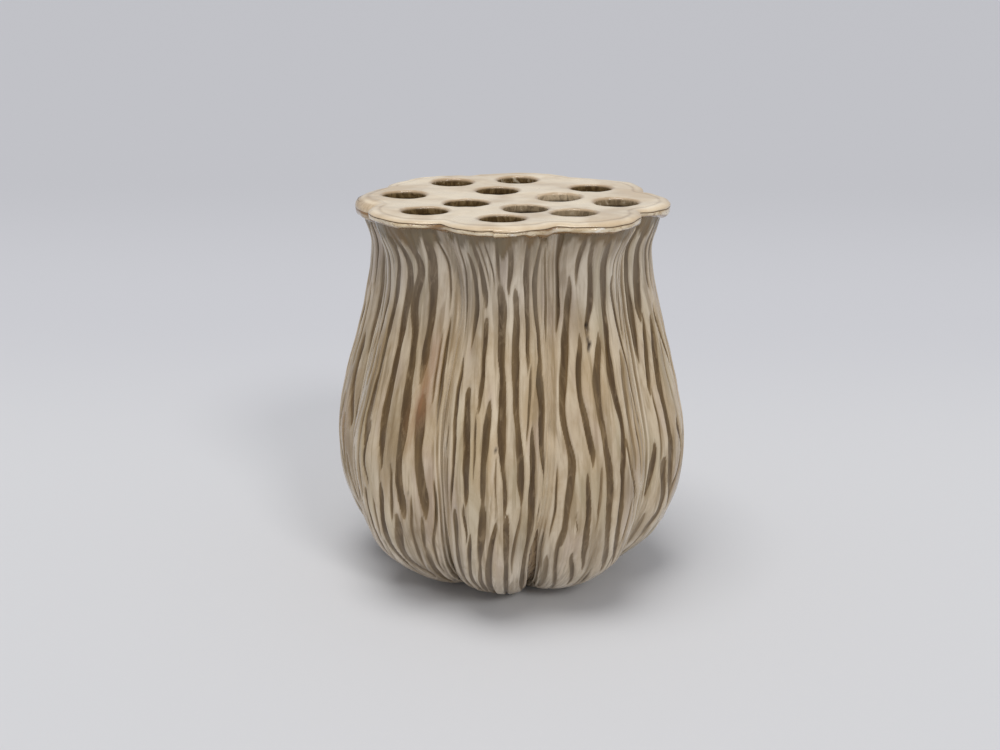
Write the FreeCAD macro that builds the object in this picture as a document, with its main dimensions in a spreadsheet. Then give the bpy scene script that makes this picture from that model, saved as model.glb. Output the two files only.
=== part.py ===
"""Flower frog: a lobed, hand-built ceramic vase closed by a fixed pierced top that holds stems upright.

Millimetres, +Z up, origin at the centre of the foot. A lobe points along each axis and each diagonal.
The pieces are the ones that a potter joins before firing: a base slab, a lobed wall, a coil laid round
the lip, and a pierced slab on top of the coil. Each one meets the next face to face.
"""
import FreeCAD
import Part
import math
import os

import Sketcher

LOBES = 8
HALF_LOBE = 180.0 / LOBES

# Horizontal outlines of the pot from the foot up: height, radius at a lobe's crest, radius in the crease.
STATIONS = {
    "foot": (0.0, 25.6, 21.9),
    "toe": (1.2, 28.8, 24.6),
    "heel": (4.5, 34.9, 29.8),
    "bowl": (12.0, 44.2, 38.0),
    "hip": (24.0, 51.0, 45.0),
    "belly": (37.0, 54.4, 48.0),
    "girth": (49.0, 54.4, 48.0),
    "waist": (62.0, 51.5, 45.2),
    "chest": (74.0, 48.1, 42.0),
    "shoulder": (87.0, 44.6, 38.4),
    "neck": (99.0, 42.4, 36.3),
    "throat": (106.0, 42.4, 36.0),
    "lip": (112.6, 44.8, 38.4),
}
BASE_STATIONS = ["foot", "toe", "heel"]
WALL_STATIONS = [name for name in STATIONS if name not in ("foot", "toe")]

SIZES = {
    "wall_thick": 4.5,
    "heel_thick": 7.0,  # the wall is thicker where it turns under to meet the base
    "cut_over": 1.0,  # how far the hollow's cutting shape runs past each end of the wall
    "coil_height": 2.4,
    "coil_crest": 47.5,
    "coil_crease": 41.0,
    "coil_edge_round": 0.8,
    "top_thick": 3.0,
    "top_crest": 47.3,
    "top_crease": 40.8,
    "top_edge_round": 1.3,
    "notch_round": 1.5,
    "hole_r": 6.5,
    "hole_edge_round": 0.4,
}

# The stem holes are cut by hand, so each has its own distance from the middle and its own bearing in degrees.
OUTER_HOLES = [
    (32.2, -89), (29.0, -47), (31.5, -5), (31.0, 42), (33.5, 92), (33.2, 130), (32.7, 177), (32.2, -134),
]
INNER_HOLES = [(16.2, -70), (14.7, 15), (14.3, 113), (15.4, -143)]


def make_sheet(doc):
    """The driving dimensions, one named cell each."""
    sheet = doc.addObject("Spreadsheet::Sheet", "Sizes")
    values = dict(SIZES)
    for name, (height, crest, crease) in STATIONS.items():
        values[name + "_height"] = height
        values[name + "_crest"] = crest
        values[name + "_crease"] = crease
    for ring, holes in (("outer", OUTER_HOLES), ("inner", INNER_HOLES)):
        for i, (reach, bearing) in enumerate(holes, 1):
            values[f"{ring}_reach_{i}"] = reach
            values[f"{ring}_bearing_{i}"] = bearing
    for row, (alias, value) in enumerate(values.items(), 1):
        sheet.set(f"A{row}", alias)
        sheet.set(f"B{row}", str(value))
        sheet.setAlias(f"B{row}", alias)
    doc.recompute()
    return sheet


def cell(doc, alias):
    """The value in a named cell of the sheet."""
    return float(getattr(doc.Sizes, alias))


def make_body(doc, label):
    body = doc.addObject("PartDesign::Body", label)
    body.Label = label
    return body


def flat_sketch(body, name, height):
    """An empty sketch parallel to the floor, at a height given as an expression."""
    sketch = body.newObject("Sketcher::SketchObject", name)
    floor_plane = next(f for f in body.Origin.OriginFeatures if f.Role == "XY_Plane")
    sketch.AttachmentSupport = [(floor_plane, "")]
    sketch.MapMode = "FlatFace"
    sketch.setExpression("AttachmentOffset.Base.z", height)
    return sketch


def bind(sketch, constraint, name, expression):
    """Adds a dimension to a sketch and drives it from the sheet."""
    index = sketch.addConstraint(constraint)
    sketch.renameConstraint(index, name)
    sketch.setExpression(f"Constraints.{name}", expression)


def bow(crest, crease):
    """Radius of the arc that swells from one crease to the next through a lobe's crest."""
    half_chord = crease * math.sin(math.radians(HALF_LOBE))
    rise = crest - crease * math.cos(math.radians(HALF_LOBE))
    return (half_chord**2 + rise**2) / (2 * rise)


def bow_expression(crest, crease):
    """The same radius as an expression of two cells."""
    half_chord = f"(({crease}) * sin({HALF_LOBE} deg))"
    rise = f"(({crest}) - ({crease}) * cos({HALF_LOBE} deg))"
    return f"({half_chord}^2 + {rise}^2) / (2 * {rise})"


def lobed_sketch(doc, body, part, height, inset="0"):
    """A closed outline of equal arcs, one per lobe, through the crest and crease radii that the sheet gives
    for a part of the pot, drawn in by inset."""
    sketch = flat_sketch(body, part + ("_outline" if inset == "0" else "_inside"), height)
    by = 0.0 if inset == "0" else cell(doc, inset.replace("Sizes.", ""))
    crest = f"Sizes.{part}_crest - {inset}"
    crease = f"Sizes.{part}_crease - {inset}"
    crest_now = cell(doc, part + "_crest") - by
    crease_now = cell(doc, part + "_crease") - by
    radius = bow(crest_now, crease_now)
    middle = crest_now - radius
    half = math.radians(HALF_LOBE)
    spread = math.atan2(crease_now * math.sin(half), crease_now * math.cos(half) - middle)
    for i in range(LOBES):
        turn = 2 * half * i
        centre = FreeCAD.Vector(middle * math.cos(turn), middle * math.sin(turn), 0)
        circle = Part.Circle(centre, FreeCAD.Vector(0, 0, 1), radius)
        sketch.addGeometry(Part.ArcOfCircle(circle, turn - spread, turn + spread), False)
    for i in range(LOBES):
        sketch.addConstraint(Sketcher.Constraint("Coincident", i, 2, (i + 1) % LOBES, 1))
    for i in range(1, LOBES):
        sketch.addConstraint(Sketcher.Constraint("Equal", 0, i))
    for i in range(LOBES):
        bearing = HALF_LOBE * (2 * i - 1)
        for axis, turn in (("X", "cos"), ("Y", "sin")):
            place = crease_now * getattr(math, turn)(math.radians(bearing))
            constraint = Sketcher.Constraint("Distance" + axis, -1, 1, i, 1, place)
            bind(sketch, constraint, f"{axis.lower()}{i}", f"({crease}) * {turn}({bearing} deg)")
    bind(sketch, Sketcher.Constraint("Radius", 0, radius), "bow", bow_expression(crest, crease))
    return sketch


def loft(body, kind, name, sketches):
    """Joins outlines into one smooth solid, or cuts that solid away."""
    feature = body.newObject("PartDesign::" + kind, name)
    feature.Profile = sketches[0]
    feature.Sections = sketches[1:]
    feature.Ruled = False
    feature.Closed = False
    return feature


def pad(doc, body, name, outline, length):
    """Raises an outline straight up."""
    feature = body.newObject("PartDesign::Pad", name)
    feature.Profile = outline
    feature.setExpression("Length", length)
    doc.recompute()
    return feature


def round_edges(doc, body, name, base, test, radius):
    """A fillet on the edges of base that pass the test."""
    edges = [f"Edge{i}" for i, edge in enumerate(base.Shape.Edges, 1) if test(edge)]
    fillet = body.newObject("PartDesign::Fillet", name)
    fillet.Base = (base, edges)
    fillet.setExpression("Radius", radius)
    doc.recompute()
    return fillet


def is_upright(edge):
    return edge.BoundBox.ZLength > 1.0


def is_level(height):
    """A test for edges that lie flat at a height."""
    return lambda edge: all(abs(v.Z - height) < 1e-4 for v in edge.Vertexes)


def is_hole_edge(radius):
    """A test for full circles of a radius."""
    return lambda edge: isinstance(edge.Curve, Part.Circle) and abs(edge.Curve.Radius - radius) < 1e-4


def make_base_slab(doc):
    """The floor of the pot: a lobed slab whose edge turns up to meet the wall."""
    body = make_body(doc, "base_slab")
    outlines = [lobed_sketch(doc, body, name, f"Sizes.{name}_height") for name in BASE_STATIONS]
    loft(body, "AdditiveLoft", "slab", outlines)
    return body


def make_body_wall(doc):
    """The lobed wall, open at both ends, with an inside that follows its outside."""
    body = make_body(doc, "body_wall")
    outside = [lobed_sketch(doc, body, name, f"Sizes.{name}_height") for name in WALL_STATIONS]
    loft(body, "AdditiveLoft", "outer_form", outside)
    doc.recompute()
    inside = []
    for name in WALL_STATIONS:
        inset = "Sizes.heel_thick" if name == "heel" else "Sizes.wall_thick"
        lift = {"heel": " - Sizes.cut_over", "lip": " + Sizes.cut_over"}.get(name, "")
        inside.append(lobed_sketch(doc, body, name, f"Sizes.{name}_height{lift}", inset))
    loft(body, "SubtractiveLoft", "hollow", inside)
    return body


def make_rim_coil(doc):
    """The coil laid round the lip to carry the top slab. It stands out as a band below the slab."""
    body = make_body(doc, "rim_coil")
    under = cell(doc, "lip_height")
    upper = under + cell(doc, "coil_height")
    ring = pad(doc, body, "ring", lobed_sketch(doc, body, "coil", "Sizes.lip_height"), "Sizes.coil_height")
    notched = round_edges(doc, body, "notches", ring, is_upright, "Sizes.notch_round")
    edges = round_edges(doc, body, "lower_edge", notched, is_level(under), "Sizes.coil_edge_round")
    round_edges(doc, body, "upper_edge", edges, is_level(upper), "Sizes.coil_edge_round")
    opening = lobed_sketch(doc, body, "lip", "Sizes.lip_height", "Sizes.wall_thick")
    pocket = body.newObject("PartDesign::Pocket", "mouth")
    pocket.Profile = opening
    pocket.Type = "ThroughAll"
    pocket.Reversed = True
    return body


def hole_sketch(doc, body):
    """All the stem holes as circles, each placed by its own reach and bearing."""
    sketch = flat_sketch(body, "hole_places", "Sizes.lip_height + Sizes.coil_height")
    radius = cell(doc, "hole_r")
    names = [("outer", i) for i in range(1, len(OUTER_HOLES) + 1)]
    names += [("inner", i) for i in range(1, len(INNER_HOLES) + 1)]
    for index, (ring, i) in enumerate(names):
        reach = cell(doc, f"{ring}_reach_{i}")
        bearing = math.radians(cell(doc, f"{ring}_bearing_{i}"))
        centre = FreeCAD.Vector(reach * math.cos(bearing), reach * math.sin(bearing), 0)
        sketch.addGeometry(Part.Circle(centre, FreeCAD.Vector(0, 0, 1), radius), False)
        for axis, turn in (("X", "cos"), ("Y", "sin")):
            place = reach * getattr(math, turn)(bearing)
            constraint = Sketcher.Constraint("Distance" + axis, -1, 1, index, 3, place)
            expression = f"Sizes.{ring}_reach_{i} * {turn}(Sizes.{ring}_bearing_{i} * 1 deg)"
            bind(sketch, constraint, f"{axis.lower()}_{ring}_{i}", expression)
        bind(sketch, Sketcher.Constraint("Radius", index, radius), f"r_{ring}_{i}", "Sizes.hole_r")
    return sketch


def make_pierced_top(doc):
    """The scalloped top slab, with its rounded rim and the stem holes."""
    body = make_body(doc, "pierced_top")
    height = "Sizes.lip_height + Sizes.coil_height"
    upper = cell(doc, "lip_height") + cell(doc, "coil_height") + cell(doc, "top_thick")
    slab = pad(doc, body, "slab", lobed_sketch(doc, body, "top", height), "Sizes.top_thick")
    notched = round_edges(doc, body, "rim_notches", slab, is_upright, "Sizes.notch_round")
    rimmed = round_edges(doc, body, "rim_edge", notched, is_level(upper), "Sizes.top_edge_round")
    holes = body.newObject("PartDesign::Pocket", "stem_holes")
    holes.BaseFeature = rimmed
    holes.Profile = hole_sketch(doc, body)
    holes.Type = "ThroughAll"
    holes.Reversed = True
    doc.recompute()
    round_edges(doc, body, "hole_edges", holes, is_hole_edge(cell(doc, "hole_r")), "Sizes.hole_edge_round")
    return body


def check(doc, bodies):
    """Stops with a message if any object failed or a piece isn't one sound solid."""
    for thing in doc.Objects:
        if {"Invalid", "Error"} & set(thing.State):
            raise SystemExit(f"{thing.Name} failed: {thing.State}")
    for body in bodies:
        shape = body.Shape
        if shape.isNull() or not shape.isValid() or len(shape.Solids) != 1:
            raise SystemExit(f"{body.Label} is not one valid solid")
        box = shape.optimalBoundingBox()
        print(f"{body.Label}: {shape.Volume:.0f} mm3, z {box.ZMin:.2f} to {box.ZMax:.2f}, "
              f"{box.XLength:.1f} x {box.YLength:.1f}, {len(shape.Faces)} faces")


def main():
    doc = FreeCAD.newDocument("flower_frog")
    make_sheet(doc)
    bodies = [make_base_slab(doc), make_body_wall(doc), make_rim_coil(doc), make_pierced_top(doc)]
    doc.recompute()
    check(doc, bodies)
    os.makedirs("parts", exist_ok=True)
    for body in bodies:
        body.Shape.exportStep(f"parts/{body.Label}.step")


main()
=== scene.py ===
"""Looks of the flower frog vase: a carved, glazed, eight-lobed shell under a scalloped, pierced top.

Sizes and places are millimetres and degrees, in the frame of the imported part, until a mesh is made.
A lobe is numbered from the front one, 0, to the viewer's right. Across a lobe, a place runs from -1 at
its left crease to 1 at its right crease. Crease j is the left crease of lobe j.
"""

import math
import random

import bpy
import numpy as np
from mathutils import Euler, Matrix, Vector
from mathutils.geometry import delaunay_2d_cdt


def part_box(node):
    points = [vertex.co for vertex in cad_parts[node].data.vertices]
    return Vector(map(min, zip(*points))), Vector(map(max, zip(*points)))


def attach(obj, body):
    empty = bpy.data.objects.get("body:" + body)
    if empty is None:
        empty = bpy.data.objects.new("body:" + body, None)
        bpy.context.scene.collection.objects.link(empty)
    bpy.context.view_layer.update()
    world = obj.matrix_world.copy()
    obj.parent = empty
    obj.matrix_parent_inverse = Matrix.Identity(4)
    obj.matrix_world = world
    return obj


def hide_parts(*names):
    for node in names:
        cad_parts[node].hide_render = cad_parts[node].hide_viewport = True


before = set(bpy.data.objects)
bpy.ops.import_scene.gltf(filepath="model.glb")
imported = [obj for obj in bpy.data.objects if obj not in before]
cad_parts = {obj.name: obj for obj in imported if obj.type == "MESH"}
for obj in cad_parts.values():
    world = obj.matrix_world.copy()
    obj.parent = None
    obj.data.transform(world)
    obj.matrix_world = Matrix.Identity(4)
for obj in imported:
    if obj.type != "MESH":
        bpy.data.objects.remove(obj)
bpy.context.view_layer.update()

MM = 0.001
LOBES = 8
STEP = math.tau / LOBES
HALF = STEP / 2
FRONT = -math.pi / 2

SEAT_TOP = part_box("base_slab")[1].z / MM
SLAB_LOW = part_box("pierced_top")[0].z / MM
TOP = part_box("pierced_top")[1].z / MM

# The wall's outside: height, reach at a lobe's crest, reach at a crease
WALL = [
    (0.0, 24.4, 22.2), (1.2, 27.4, 25.0), (4.5, 35.0, 29.8), (12.0, 45.0, 37.2), (24.0, 51.7, 43.9),
    (37.0, 54.4, 47.0), (49.0, 54.4, 47.5), (62.0, 51.5, 45.0), (74.0, 48.1, 42.0), (87.0, 44.6, 38.4),
    (99.0, 42.4, 36.3), (106.0, 42.4, 36.0), (112.6, 44.8, 38.4), (116.9, 46.4, 40.0),
]
LIP_TOP = 116.9
WALL_THICK = 4.5
# How far the underside's middle is raised, how far the floor inside sags, and a height between them
FOOT_HOLLOW = 0.55
FLOOR_SAG = 0.15
UNDER_TOP = 0.9

# How far each crease leans out of its even place, as (height, degrees)
CREASE_LEAN = {
    0: [(0, 0.5), (6, 1.0), (20, 3.5), (36, 4.8), (65, 3.5), (80, 5.0), (96, 6.0), (106, 3.5), (114, 0.0)],
    1: [
        (0, -4.0), (6, -5.5), (21, -7.5), (38, -5.0), (58, -3.0), (70, -2.0), (82, -0.5), (100, 1.0),
        (114, 0.0),
    ],
    2: [(0, -5.0), (90, -5.0), (105, -3.0), (114, 0.0)],
    3: [(0, 2.0), (55, -2.0), (90, 1.0), (114, 0.0)],
    4: [(0, -3.0), (50, 1.5), (95, 2.0), (114, 0.0)],
    5: [(0, 3.0), (40, 2.0), (80, -2.0), (114, 0.0)],
    6: [(0, -2.0), (60, -1.0), (114, 0.0)],
    7: [(0, 0.0), (114, 0.0)],
}

# Fine folds run along both sides of a crease, this far out and this far apart
FOLD_REACH = 2.3
FOLD_SPACING = 1.2
# How strongly each crease shows its fine folds, as (height, strength)
CREASE_FOLDS = {
    0: [(0, 1.0), (55, 0.7), (72, 0.1), (100, 0.05), (114, 0.1)],
    1: [(0, 1.0), (14, 0.6), (40, 0.1), (114, 0.05)],
    2: [(0, 1.0), (114, 1.0)],
    3: [(0, 0.8), (50, 0.6), (114, 0.4)],
    4: [(0, 0.9), (60, 0.3), (114, 0.6)],
    5: [(0, 0.8), (50, 0.7), (114, 0.3)],
    6: [(0, 0.9), (60, 0.5), (114, 0.7)],
    7: [(0, 1.0), (114, 1.0)],
}

# Carved strokes on the lobes that face the viewer, by lobe: width, then (height, place across) down the
# stroke. Most were read off, and the last few of each lobe were put in where it looked too bare.
STROKES = {
    0: [
        (0.9, [(115, -0.63), (103, -0.77), (94, -0.83), (90, -0.80)]),
        (1.3, [(78, -0.73), (66, -0.70), (54, -0.67), (40, -0.73)]),
        (2.0, [(71, -0.50), (58, -0.43), (43, -0.43)]), (1.2, [(38, -0.47), (31, -0.40)]),
        (1.4, [(90, -0.33), (80, -0.30), (69, -0.27)]), (2.0, [(68, -0.10), (53, -0.13), (43, -0.13)]),
        (1.9, [(40, -0.13), (32, -0.13), (23, -0.13)]),
        (2.0, [(99, -0.07), (83, 0.00), (75, 0.07), (64, 0.13), (52, 0.17)]),
        (1.5, [(115, 0.23), (107, 0.17), (101, 0.07)]), (0.9, [(115, 0.03), (104, -0.07)]),
        (1.9, [(98, 0.20), (85, 0.23), (75, 0.30), (64, 0.37), (50, 0.47), (43, 0.50)]),
        (1.4, [(115, 0.53), (104, 0.43), (97, 0.40), (90, 0.43), (80, 0.50)]),
        (1.3, [(115, 0.77), (98, 0.57), (84, 0.70), (78, 0.77)]),
        (2.1, [(78, 0.70), (68, 0.80), (56, 0.83), (48, 0.93)]),
        (2.1, [(60, 0.63), (43, 0.70), (27, 0.77), (6, 0.73)]), (1.2, [(52, 0.17), (42, 0.23), (39, 0.23)]),
        (1.6, [(34, 0.10), (17, 0.03), (3, 0.05)]), (1.5, [(36, 0.27), (25, 0.37), (4, 0.33)]),
        (1.5, [(36, -0.64), (20, -0.60), (6, -0.45)]), (1.3, [(29, -0.34), (14, -0.32), (4, -0.22)]),
        (1.3, [(21, -0.13), (12, -0.12), (3, -0.08)]), (1.0, [(38, 0.90), (31, 0.96)]),
        (0.7, [(25, -0.84), (17, -0.78)]), (0.7, [(59, -0.83), (53, -0.90), (47, -0.97)]),
        (1.6, [(115, -0.36), (106, -0.38), (97, -0.36)]), (1.5, [(86, -0.58), (95, -0.57), (108, -0.52)]),
    ],
    7: [
        (2.0, [(115, 0.03), (99, -0.03), (90, -0.10), (60, -0.10), (54, -0.10)]),
        (1.6, [(57, -0.03), (45, -0.07), (42, -0.03)]),
        (2.2, [(115, 0.13), (104, 0.23), (89, 0.17), (69, 0.20), (49, 0.23)]),
        (1.8, [(40, 0.20), (32, 0.17), (19, 0.20), (14, 0.30), (9, 0.33)]), (1.1, [(46, 0.37), (33, 0.33)]),
        (2.3, [(115, 0.33), (102, 0.43), (96, 0.33), (84, 0.40), (62, 0.50), (43, 0.47), (34, 0.50)]),
        (2.4, [(31, 0.40), (17, 0.40), (10, 0.60)]),
        (2.2, [(115, 0.73), (103, 0.63), (87, 0.60), (74, 0.63)]),
        (0.9, [(88, 0.87), (75, 0.90), (59, 0.93)]), (2.6, [(67, 0.70), (49, 0.73), (35, 0.77)]),
        (1.2, [(31, 0.73), (22, 0.70)]), (0.8, [(43, 0.90), (35, 0.90), (24, 0.83), (13, 0.83)]),
        (1.0, [(115, 0.50), (106, 0.40)]), (0.6, [(63, -0.37), (45, -0.47), (31, -0.23)]),
        (1.3, [(115, -0.25), (96, -0.30), (80, -0.38), (70, -0.40)]),
        (1.2, [(92, -0.62), (76, -0.68), (58, -0.66)]), (1.4, [(50, -0.70), (36, -0.62), (14, -0.55)]),
        (1.5, [(46, -0.38), (24, -0.34), (6, -0.25)]), (1.4, [(36, -0.10), (18, -0.06), (5, 0.00)]),
        (1.3, [(19, 0.72), (12, 0.74), (5, 0.74)]),
    ],
    6: [
        (1.2, [(115, 0.60), (94, 0.63)]), (2.0, [(75, 0.67), (63, 0.67), (51, 0.80)]),
        (1.5, [(55, 0.47), (45, 0.40), (30, 0.57)]), (1.6, [(98, 0.30), (82, 0.34), (66, 0.30)]),
    ],
    1: [
        (1.8, [(115, -0.90), (97, -0.93), (89, -0.93)]),
        (1.8, [(100, -0.70), (84, -0.77), (63, -0.80), (53, -0.70), (41, -0.70), (28, -0.67)]),
        (1.6, [(21, -0.50), (11, -0.37)]), (1.5, [(115, -0.53), (103, -0.57)]),
        (1.5, [(115, -0.40), (94, -0.33), (88, -0.40)]),
        (1.6, [(84, -0.53), (76, -0.57), (62, -0.47), (53, -0.40)]),
        (2.0, [(84, -0.17), (75, -0.27), (58, -0.20), (43, -0.13), (34, -0.10), (16, 0.07)]),
        (2.1, [(115, -0.13), (102, -0.03), (88, 0.00), (72, 0.03), (62, 0.13), (48, 0.07)]),
        (1.6, [(50, 0.08), (31, 0.10), (16, 0.27)]),
        (1.2, [(99, 0.20), (83, 0.40), (67, 0.57), (58, 0.67)]), (0.9, [(64, 0.73), (49, 0.63)]),
        (0.8, [(55, 0.20), (49, 0.23), (38, 0.40)]), (0.6, [(47, 0.27), (32, 0.40)]),
        (1.6, [(46, -0.47), (35, -0.40), (18, -0.30)]), (0.7, [(35, -0.57), (31, -0.50)]),
        (1.4, [(31, -0.97), (15, -0.93)]), (1.4, [(36, 0.52), (18, 0.52), (6, 0.45)]),
        (1.2, [(28, -0.72), (14, -0.66), (5, -0.56)]), (1.3, [(14, -0.14), (9, -0.12), (4, -0.10)]),
    ],
    2: [
        (2.5, [(115, -0.67), (101, -0.63), (87, -0.70)]), (2.0, [(115, -0.40), (96, -0.37)]),
        (1.5, [(85, -0.63), (66, -0.77)]),
        (2.3, [(83, -0.47), (65, -0.57), (45, -0.53), (36, -0.50), (26, -0.40)]),
        (1.5, [(86, -0.33), (72, -0.20)]), (2.5, [(41, -0.67), (24, -0.60), (19, -0.67)]),
        (2.0, [(47, -0.83), (34, -0.90)]), (1.8, [(52, -0.33), (42, -0.23), (32, -0.40)]),
    ],
}
# Lobes and the span across them where no stroke was seen, so strokes are made up in the same manner
UNSEEN = [(6, -0.95, 0.15), (2, -0.05, 0.95), (3, -0.95, 0.95), (4, -0.95, 0.95), (5, -0.95, 0.95)]

# Blurred washes of colour: lobe, height, place across, half height, half width, strength
BROWN_WASHES = [
    (0, 84, -0.45, 12, 0.16, 0.35), (7, 62, -0.70, 34, 0.28, 0.3), (6, 62, 0.70, 34, 0.28, 0.35),
    (0, 62, 0.30, 14, 0.10, 0.3), (0, 30, 0.55, 10, 0.14, 0.5), (1, 48, 0.0, 15, 0.5, 0.25),
    (7, 76, 0.10, 26, 0.8, 0.35),
    (0, 46, -0.85, 16, 0.10, 0.5), (7, 92, 0.50, 12, 0.14, 0.4), (7, 52, 0.35, 12, 0.12, 0.5),
    (7, 26, 0.60, 10, 0.16, 0.6), (7, 70, -0.25, 14, 0.12, 0.3), (7, 11, 0.50, 6, 0.20, 0.7),
    (0, 115, 0.0, 6, 1.3, 0.7), (7, 115, 0.0, 5, 1.3, 0.6), (1, 115, 0.0, 6, 1.3, 0.7),
    (1, 92, -0.55, 10, 0.14, 0.4), (1, 44, 0.20, 12, 0.12, 0.3), (1, 24, -0.20, 10, 0.14, 0.4),
    (2, 70, -0.40, 12, 0.12, 0.4), (2, 36, -0.30, 12, 0.16, 0.4), (6, 66, 0.55, 14, 0.16, 0.5),
]
RUST_WASHES = [
    (7, 79, 0.74, 8, 0.07, 0.6), (7, 68, 0.70, 7, 0.09, 0.8), (7, 60, 0.58, 6, 0.07, 0.5),
    (6, 48, 0.60, 9, 0.14, 0.4),
]
# Small dark pits in the glaze: lobe, height, place across, radius
PITS = [
    (1, 89.0, -0.40, 0.50), (1, 87.2, -0.37, 0.45), (1, 85.6, -0.39, 0.55), (1, 83.8, -0.36, 0.45),
    (1, 82.2, -0.38, 0.50), (1, 65.5, -0.50, 0.40), (0, 57.0, 0.05, 0.40), (7, 40.0, 0.58, 0.40),
]

# Points round one lobe and up the wall, for the skin, the plain inside and the stroke planner's trial
LOBE_COLUMNS = 120
BODY_ROWS = 94
BASE_ROWS = 7
INNER_COLUMNS = 20
INNER_ROWS = 20
TRIAL_COLUMNS = 100
TRIAL_ROWS = 130
# Waves in a random field, the reach at which a bearing becomes a distance round the wall, and the
# number of heights at which the wall's slope is measured
RIPPLE_WAVES = 9
ROUND_REACH = 50
SLOPE_SAMPLES = 1500

STROKE_DEPTH = 0.80
STROKE_EDGE = 0.50
# A slanting stroke's edge is softer by this times its slope, or the rows of points show as teeth
SLANT_EDGE = 1.3
# How far each end of a stroke runs on past its last given place as it narrows
POINTED = 3.0
# A made-up stroke shorter than this leans less, in proportion
STEADY_LENGTH = 40
# The width of the lane that a made-up stroke keeps to, as a place across
LANE = 0.27
# Slight strokes that fill the gaps: space kept each side, shortest and longest, width, how many are tried
FILLERS = [
    (0.95, (35, 90), (1.1, 2.1), 6000),
    (0.85, (18, 45), (0.9, 1.8), 8000),
    (0.75, (12, 30), (0.5, 0.95), 7000),
]

# The stem holes through the top: distance from the middle and bearing of each one, and their radius
OUTER_HOLES = [
    (32.2, -89), (29.0, -47), (31.5, -5), (31.0, 42), (33.5, 92), (33.2, 130), (32.7, 177), (32.2, -134),
]
INNER_HOLES = [(16.2, -70), (14.7, 15), (14.3, 113), (15.4, -143)]
# Which of these, counted through both lists from 0, have paler walls, and how much paler
PALE_HOLES = {9: 1.0, 1: 0.45, 8: 0.4, 2: 0.3}
HOLE_RADIUS = 6.5
HOLE_ROUND = 0.95
HOLE_TURNS = 56
# How far the slab's face is dished, and how far in from its edge a faint groove runs
FACE_DISH = 0.45
GROOVE_INSET = 3.25
# Space between the points on the slab's face and on its underside
FACE_SPACING = 1.5
UNDER_SPACING = 4.0

RIM_CREST = 47.5
RIM_CREASE = 41.0
RIM_LOW = 115.6
SEAM = 116.95
RIM_COLUMNS = 720
# Drips of glaze and clay on the coil's lower edge: bearing, spread in degrees, drop
DRIPS = [
    (-71, 3.5, 1.3), (-77, 2.0, 0.6), (-112, 2.0, 0.5), (-128, 4.0, 0.5), (-50, 14.0, 0.5),
    (-48, 1.6, 0.4), (-28, 3.0, 0.9), (-3, 13.0, 1.7),
    (36, 3.0, 0.8), (74, 2.0, 0.7), (118, 3.5, 0.9), (149, 2.0, 0.6), (-160, 2.5, 0.6),
]
# Painted glints on the coil's glaze: place and spread
RIM_GLINTS = [(16.6, -40.0, 2.2), (27.6, -37.4, 2.0), (5.4, -47.0, 1.6), (35.0, -28.0, 1.8)]
# The lobe at the viewer's left ends in a thick roll with no seam
BULGE_BEARING = -180
# How far each notch in the rim is filled out with clay
NOTCH_FILL = {3: 1.2, 4: 2.2, 5: 3.0, 6: 3.4}


# ---------------------------------------------------------------- shape


def smooth_curve(at, knots, values):
    """A smooth curve through the values at rising knots, read at the places `at`."""
    at, knots, values = (np.asarray(x, float) for x in (at, knots, values))
    runs = np.diff(knots)
    rises = np.diff(values) / runs
    slopes = np.empty(len(knots))
    slopes[0], slopes[-1] = rises[0], rises[-1]
    slopes[1:-1] = (rises[:-1] * runs[1:] + rises[1:] * runs[:-1]) / (runs[1:] + runs[:-1])
    i = np.clip(np.searchsorted(knots, at, side="right") - 1, 0, len(runs) - 1)
    f = np.clip((at - knots[i]) / runs[i], 0, 1)
    g = 1 - f
    ends = values[i] * (1 + 2 * f) * g**2 + values[i + 1] * (1 + 2 * g) * f**2
    return ends + runs[i] * f * g * (slopes[i] * g - slopes[i + 1] * f)


def smooth_step(x):
    x = np.clip(x, 0, 1)
    return x * x * (3 - 2 * x)


def hump(x):
    """1 at 0, fading out by about 2 each side."""
    return np.exp(-(x**2))


def ripple(seed, shortest, longest):
    """A smooth random field over one or two lengths in millimetres, from about -1 to 1."""
    draw = random.Random(seed)
    waves = []
    for _ in range(RIPPLE_WAVES):
        length = draw.uniform(shortest, longest)
        heading = draw.uniform(0, math.tau)
        waves.append((math.cos(heading) / length, math.sin(heading) / length, draw.uniform(0, 1)))

    def field(x, y=0):
        total = sum(np.sin(math.tau * (a * x + b * y + shift)) for a, b, shift in waves)
        return total / math.sqrt(RIPPLE_WAVES)

    return field


def lobed_reach(turn, crest, crease):
    """Distance from the axis at an angle of `turn` from a lobe's crest. Each lobe is one arc."""
    middle = (crest**2 - crease**2) / (2 * (crest - crease * math.cos(HALF)))
    return middle * np.cos(turn) + np.sqrt((crest - middle) ** 2 - (middle * np.sin(turn)) ** 2)


def wall_reaches(height):
    """The wall's reach at the crests and at the creases."""
    heights, crests, creases = zip(*WALL)
    return smooth_curve(height, heights, crests), smooth_curve(height, heights, creases)


def crease_bearing(j, height):
    heights, leans = zip(*CREASE_LEAN[j % LOBES])
    return FRONT - HALF + j * STEP + np.radians(smooth_curve(height, heights, leans))


def slope_table(low, high):
    """Heights from low to high, and how far each one is from low along the wall's slope."""
    z = np.linspace(low, high, SLOPE_SAMPLES)
    steps = np.hypot(np.diff(z), np.diff(wall_reaches(z)[0]))
    return z, np.concatenate([[0], np.cumsum(steps)])


def even_heights(low, high, rows):
    """Heights from low to high that are evenly spaced along the wall's slope."""
    z, along = slope_table(low, high)
    return np.interp(np.linspace(0, along[-1], rows), along, z)


def along_wall(height):
    """Distance up the wall's slope from the foot."""
    return np.interp(height, *slope_table(0, 120))


def places_across(count):
    """Places across one lobe, from -1 up to but not including 1, closer together at the creases."""
    t = np.arange(count) / count * 2 - 1
    return t + 0.25 * np.sin(math.pi * t) / math.pi


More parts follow.
